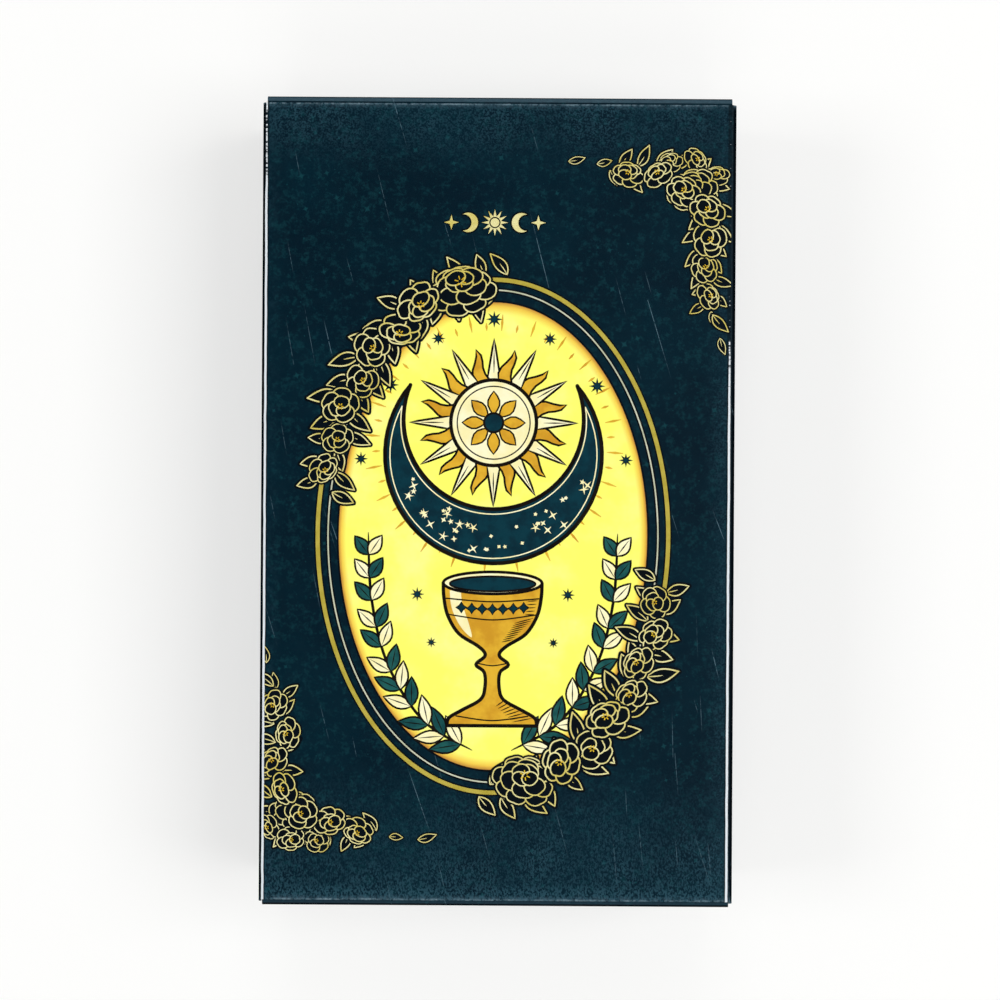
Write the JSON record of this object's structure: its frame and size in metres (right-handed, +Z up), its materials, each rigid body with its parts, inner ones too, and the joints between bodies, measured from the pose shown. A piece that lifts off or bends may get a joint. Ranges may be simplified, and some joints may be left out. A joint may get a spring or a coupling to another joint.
{
  "type": "tarot card deck",
  "caption": "Deck of tarot cards and a stapled booklet in a printed reverse-tuck carton of folded board, with hinged lids, tuck tabs and dust flaps at its ends.",
  "frame": {"origin": "middle of the rectangle that the carton covers on the table, with the carton on its back", "axes": "+X across the carton to the right of its front, +Y along it to the opening end, +Z up out of its front"},
  "size_m": [0.073, 0.1248, 0.0324],
  "materials": {
    "printed_board": "satin",
    "board_inside": "matte",
    "card_stock": "satin",
    "booklet_cover": "satin",
    "booklet_paper": "matte",
    "staple_wire": "satin"
  },
  "bodies": {
    "carton": {"front_panel": "printed_board", "back_panel": "printed_board", "left_side_panel": "printed_board", "right_side_panel": "printed_board", "glue_flap": "board_inside"},
    "top_lid": {"top_lid": "printed_board"},
    "top_tuck_tab": {"top_tuck_tab": "printed_board"},
    "top_left_dust_flap": {"top_left_dust_flap": "printed_board"},
    "top_right_dust_flap": {"top_right_dust_flap": "printed_board"},
    "bottom_lid": {"bottom_lid": "printed_board"},
    "bottom_tuck_tab": {"bottom_tuck_tab": "printed_board"},
    "bottom_left_dust_flap": {"bottom_left_dust_flap": "printed_board"},
    "bottom_right_dust_flap": {"bottom_right_dust_flap": "printed_board"},
    "deck": {"fool_card": "card_stock", "magician_card": "card_stock", "high_priestess_card": "card_stock", "empress_card": "card_stock", "emperor_card": "card_stock", "hierophant_card": "card_stock", "lovers_card": "card_stock", "chariot_card": "card_stock", "strength_card": "card_stock", "hermit_card": "card_stock", "wheel_of_fortune_card": "card_stock", "justice_card": "card_stock", "hanged_man_card": "card_stock", "death_card": "card_stock", "temperance_card": "card_stock", "devil_card": "card_stock", "tower_card": "card_stock", "star_card": "card_stock", "moon_card": "card_stock", "sun_card": "card_stock", "judgement_card": "card_stock", "world_card": "card_stock", "wands_pip_cards": "card_stock", "cups_pip_cards": "card_stock", "swords_pip_cards": "card_stock", "pentacles_pip_cards": "card_stock", "page_of_wands_card": "card_stock", "knight_of_wands_card": "card_stock", "queen_of_wands_card": "card_stock", "king_of_wands_card": "card_stock", "page_of_cups_card": "card_stock", "knight_of_cups_card": "card_stock", "queen_of_cups_card": "card_stock", "king_of_cups_card": "card_stock", "page_of_swords_card": "card_stock", "knight_of_swords_card": "card_stock", "queen_of_swords_card": "card_stock", "king_of_swords_card": "card_stock", "page_of_pentacles_card": "card_stock", "knight_of_pentacles_card": "card_stock", "queen_of_pentacles_card": "card_stock", "king_of_pentacles_card": "card_stock"},
    "booklet": {"booklet_cover": "booklet_cover", "booklet_pages": "booklet_paper", "booklet_staples": "staple_wire"}
  },
  "joints": [
    {"name": "top_lid_hinge", "type": "hinge", "parent": "carton", "child": "top_lid", "pos_m": [0, 0.0618, 0.0006], "axis": [-1, 0, 0], "range_deg": [0, 90]},
    {"name": "top_tuck_hinge", "type": "hinge", "parent": "top_lid", "child": "top_tuck_tab", "pos_m": [0, 0.0618, 0.03062], "axis": [1, 0, 0], "range_deg": [0, 49.5]},
    {"name": "top_left_dust_hinge", "type": "hinge", "parent": "carton", "child": "top_left_dust_flap", "pos_m": [-0.0359, 0.0612, 0.01619], "axis": [0, 0, 1], "range_deg": [0, 36]},
    {"name": "top_right_dust_hinge", "type": "hinge", "parent": "carton", "child": "top_right_dust_flap", "pos_m": [0.0359, 0.0612, 0.01619], "axis": [0, 0, -1], "range_deg": [0, 36]},
    {"name": "bottom_lid_hinge", "type": "hinge", "parent": "carton", "child": "bottom_lid", "pos_m": [0, -0.0618, 0.03177], "axis": [-1, 0, 0], "range_deg": [0, 90]},
    {"name": "bottom_tuck_hinge", "type": "hinge", "parent": "bottom_lid", "child": "bottom_tuck_tab", "pos_m": [0, -0.0618, 0.00175], "axis": [1, 0, 0], "range_deg": [0, 49.5]},
    {"name": "bottom_left_dust_hinge", "type": "hinge", "parent": "carton", "child": "bottom_left_dust_flap", "pos_m": [-0.0359, -0.0612, 0.01619], "axis": [0, 0, -1], "range_deg": [0, 36]},
    {"name": "bottom_right_dust_hinge", "type": "hinge", "parent": "carton", "child": "bottom_right_dust_flap", "pos_m": [0.0359, -0.0612, 0.01619], "axis": [0, 0, 1], "range_deg": [0, 36]},
    {"name": "deck_slide", "type": "slide", "parent": "carton", "child": "deck", "axis": [0, 1, 0], "range_m": [0, 0.0021]},
    {"name": "booklet_slide", "type": "slide", "parent": "carton", "child": "booklet", "axis": [0, 1, 0], "range_m": [0, 0.0081]}
  ],
  "couplings": [
    {"joint": "top_tuck_hinge", "follows": "top_lid_hinge", "ratio": 0.55},
    {"joint": "top_left_dust_hinge", "follows": "top_lid_hinge", "ratio": 0.4},
    {"joint": "top_right_dust_hinge", "follows": "top_lid_hinge", "ratio": 0.4},
    {"joint": "bottom_tuck_hinge", "follows": "bottom_lid_hinge", "ratio": 0.55},
    {"joint": "bottom_left_dust_hinge", "follows": "bottom_lid_hinge", "ratio": 0.4},
    {"joint": "bottom_right_dust_hinge", "follows": "bottom_lid_hinge", "ratio": 0.4}
  ]
}
